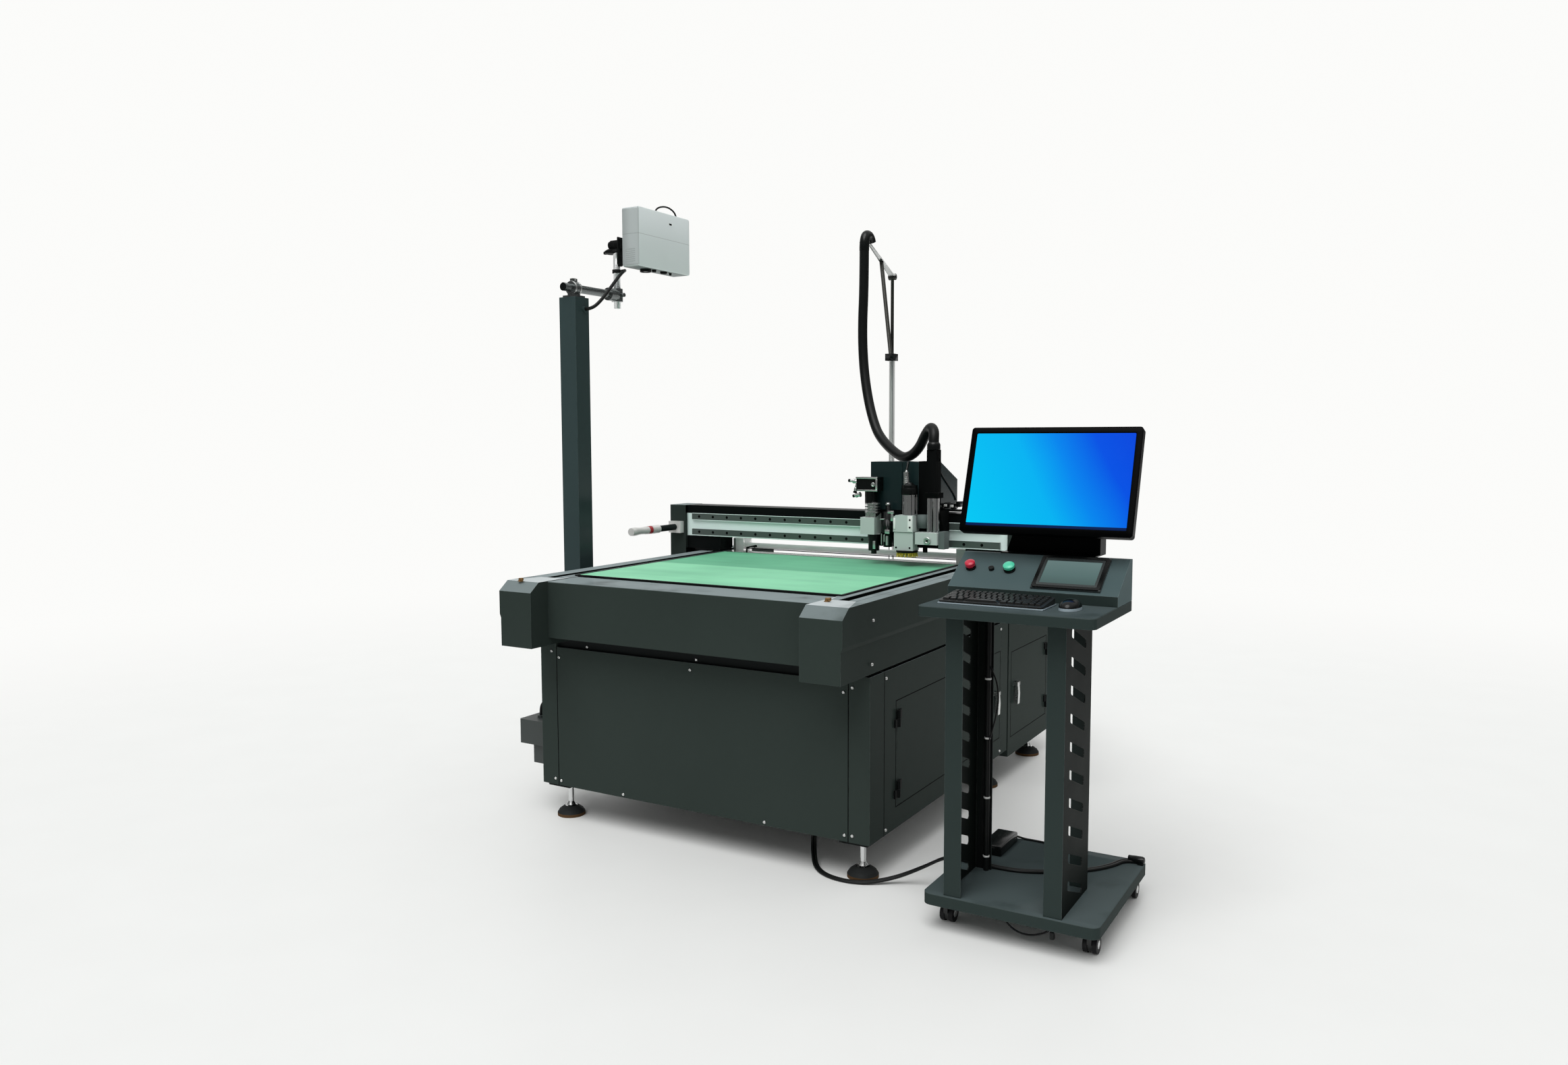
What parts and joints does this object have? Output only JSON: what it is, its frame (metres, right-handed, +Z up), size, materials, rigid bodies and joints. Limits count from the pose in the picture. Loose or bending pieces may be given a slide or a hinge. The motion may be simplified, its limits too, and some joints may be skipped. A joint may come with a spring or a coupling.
{
  "type": "digital flatbed cutter",
  "caption": "Flatbed cutting machine with a tool head on a moving gantry, overhead projector column, hose boom, lockable cabinets and a separate wheeled control console.",
  "frame": {"origin": "on the floor, at the middle of the whole outfit", "axes": "+Z up, +X to the right along the gantry, +Y from the machine's front to its back"},
  "size_m": [2.637, 2.252, 2.571],
  "materials": {
    "slate_paint": "fine powder coat, dark slate grey",
    "console_paint": "fine powder coat, blue slate grey",
    "frame_paint": "satin dark grey",
    "anodised": "satin anodised",
    "mat_green": "matt felted green",
    "rail_steel": "ground and blackened",
    "black_metal": "satin black",
    "silver_steel": "brushed",
    "bright_roller": "satin",
    "black_plastic": "fine texture",
    "dark_gloss": "semi-gloss",
    "white_plastic": "fine texture",
    "hose_black": "ribbed matt",
    "cable_black": "satin",
    "yellow_ring": "satin",
    "red_button": "satin",
    "green_button": "satin",
    "tool_grey": "bead blasted",
    "wheel_rubber": "matt",
    "foot_chrome": "polished",
    "cast_grey": "as cast"
  },
  "bodies": {
    "machine": {"base_frame": "frame_paint", "cabinet_panels": "slate_paint", "front_panel": "slate_paint", "right_side_panel": "slate_paint", "levelling_feet": "foot_chrome", "front_beam": "slate_paint", "rail_covers": "slate_paint", "bed_table": "anodised", "cutting_mat": "mat_green", "y_rails": "rail_steel", "rear_cabinet": "slate_paint", "vacuum_blower": "cast_grey", "control_plate": "black_plastic", "junction_box": "slate_paint", "junction_cable": "cable_black", "projector_column": "slate_paint", "projector_arm": "black_metal", "projector_cable": "cable_black", "hose_pole": "silver_steel", "hose_upper": "hose_black", "console_base": "console_paint", "console_posts": "console_paint", "console_desk": "console_paint", "console_box": "console_paint", "touch_panel": "black_plastic", "keyboard": "black_plastic", "mouse": "black_plastic", "floor_cable": "cable_black", "monitor_stand": "black_metal"},
    "gantry": {"gantry_beam": "anodised", "gantry_rails": "rail_steel", "gantry_cover": "black_metal", "gantry_legs": "tool_grey", "gantry_ends": "slate_paint", "safety_feeler": "silver_steel", "hose_lower": "hose_black"},
    "carriage": {"carriage_plate": "tool_grey", "head_housing": "slate_paint"},
    "left_tool": {"left_tool": "tool_grey"},
    "centre_tool": {"centre_tool": "tool_grey", "presser_ring": "yellow_ring"},
    "right_tool": {"right_tool": "tool_grey"},
    "side_door": {"side_door": "slate_paint"},
    "side_latch": {"side_latch": "silver_steel"},
    "cabinet_door": {"cabinet_door": "slate_paint"},
    "cabinet_latch": {"cabinet_latch": "silver_steel"},
    "feed_roller": {"feed_roller": "bright_roller"},
    "projector_rod": {"projector_rod": "silver_steel"},
    "projector": {"projector": "white_plastic"},
    "monitor": {"monitor": "dark_gloss"},
    "stop_button": {"stop_button": "red_button"},
    "start_button": {"start_button": "green_button"},
    "caster_front_left": {"caster_front_left": "black_plastic"},
    "wheels_front_left": {"wheels_front_left": "wheel_rubber"},
    "caster_front_right": {"caster_front_right": "black_plastic"},
    "wheels_front_right": {"wheels_front_right": "wheel_rubber"},
    "caster_rear_left": {"caster_rear_left": "black_plastic"},
    "wheels_rear_left": {"wheels_rear_left": "wheel_rubber"},
    "caster_rear_right": {"caster_rear_right": "black_plastic"},
    "wheels_rear_right": {"wheels_rear_right": "wheel_rubber"}
  },
  "joints": [
    {"name": "gantry_travel", "type": "slide", "parent": "machine", "child": "gantry", "axis": [0, 1, 0], "range_m": [-0.95, 0.04], "deforming": ["hose_upper"]},
    {"name": "carriage_travel", "type": "slide", "parent": "gantry", "child": "carriage", "axis": [1, 0, 0], "range_m": [-0.96, 0.17], "deforming": ["hose_lower"]},
    {"name": "left_tool_lift", "type": "slide", "parent": "carriage", "child": "left_tool", "axis": [0, 0, 1], "range_m": [-0.04, 0.01]},
    {"name": "centre_tool_lift", "type": "slide", "parent": "carriage", "child": "centre_tool", "axis": [0, 0, 1], "range_m": [-0.036, 0.01]},
    {"name": "right_tool_lift", "type": "slide", "parent": "carriage", "child": "right_tool", "axis": [0, 0, 1], "range_m": [-0.05, 0.01]},
    {"name": "side_door_swing", "type": "hinge", "parent": "machine", "child": "side_door", "pos_m": [0.4765, -0.62, 0.417], "axis": [0, 0, -1], "range_deg": [0, 90]},
    {"name": "side_latch_lift", "type": "hinge", "parent": "side_door", "child": "side_latch", "pos_m": [0.4785, 0.39, 0.434], "axis": [0, -1, 0], "range_deg": [0, 35]},
    {"name": "cabinet_door_swing", "type": "hinge", "parent": "machine", "child": "cabinet_door", "pos_m": [0.4765, 1.087, 0.3875], "axis": [0, 0, 1], "range_deg": [0, 100]},
    {"name": "cabinet_latch_lift", "type": "hinge", "parent": "cabinet_door", "child": "cabinet_latch", "pos_m": [0.4785, 0.647, 0.4295], "axis": [0, -1, 0], "range_deg": [0, 35]},
    {"name": "feed_roller_spin", "type": "hinge", "parent": "machine", "child": "feed_roller", "pos_m": [-0.2655, 0.428, 1.015], "axis": [1, 0, 0], "continuous": true},
    {"name": "projector_height", "type": "slide", "parent": "machine", "child": "projector_rod", "axis": [0, 0, 1], "range_m": [-0.05, 0.03], "deforming": ["projector_cable"]},
    {"name": "projector_tilt", "type": "hinge", "parent": "projector_rod", "child": "projector", "pos_m": [-1.1585, -0.043, 2.42], "axis": [0, 1, 0], "range_deg": [-8, 12]},
    {"name": "monitor_tilt", "type": "hinge", "parent": "machine", "child": "monitor", "pos_m": [1.0445, -0.69283, 1.38007], "axis": [-1, 0, 0], "range_deg": [-15, 8]},
    {"name": "stop_button_press", "type": "slide", "parent": "machine", "child": "stop_button", "axis": [0, 0.5508, -0.8347], "range_m": [0, 0.005], "stiffness_N_per_m": 500, "springref_m": -0.003},
    {"name": "start_button_press", "type": "slide", "parent": "machine", "child": "start_button", "axis": [0, 0.5508, -0.8347], "range_m": [0, 0.005], "stiffness_N_per_m": 400, "springref_m": -0.003},
    {"name": "swivel_front_left", "type": "hinge", "parent": "machine", "child": "caster_front_left", "pos_m": [0.8015, -0.964, 0.087], "axis": [0, 0, 1], "continuous": true},
    {"name": "roll_front_left", "type": "hinge", "parent": "caster_front_left", "child": "wheels_front_left", "pos_m": [0.8015, -0.94, 0.028], "axis": [1, 0, 0], "continuous": true},
    {"name": "swivel_front_right", "type": "hinge", "parent": "machine", "child": "caster_front_right", "pos_m": [1.2565, -0.964, 0.087], "axis": [0, 0, 1], "continuous": true},
    {"name": "roll_front_right", "type": "hinge", "parent": "caster_front_right", "child": "wheels_front_right", "pos_m": [1.2565, -0.94, 0.028], "axis": [1, 0, 0], "continuous": true},
    {"name": "swivel_rear_left", "type": "hinge", "parent": "machine", "child": "caster_rear_left", "pos_m": [0.8015, -0.484, 0.087], "axis": [0, 0, 1], "continuous": true},
    {"name": "roll_rear_left", "type": "hinge", "parent": "caster_rear_left", "child": "wheels_rear_left", "pos_m": [0.8015, -0.46, 0.028], "axis": [1, 0, 0], "continuous": true},
    {"name": "swivel_rear_right", "type": "hinge", "parent": "machine", "child": "caster_rear_right", "pos_m": [1.2565, -0.484, 0.087], "axis": [0, 0, 1], "continuous": true},
    {"name": "roll_rear_right", "type": "hinge", "parent": "caster_rear_right", "child": "wheels_rear_right", "pos_m": [1.2565, -0.46, 0.028], "axis": [1, 0, 0], "continuous": true}
  ]
}
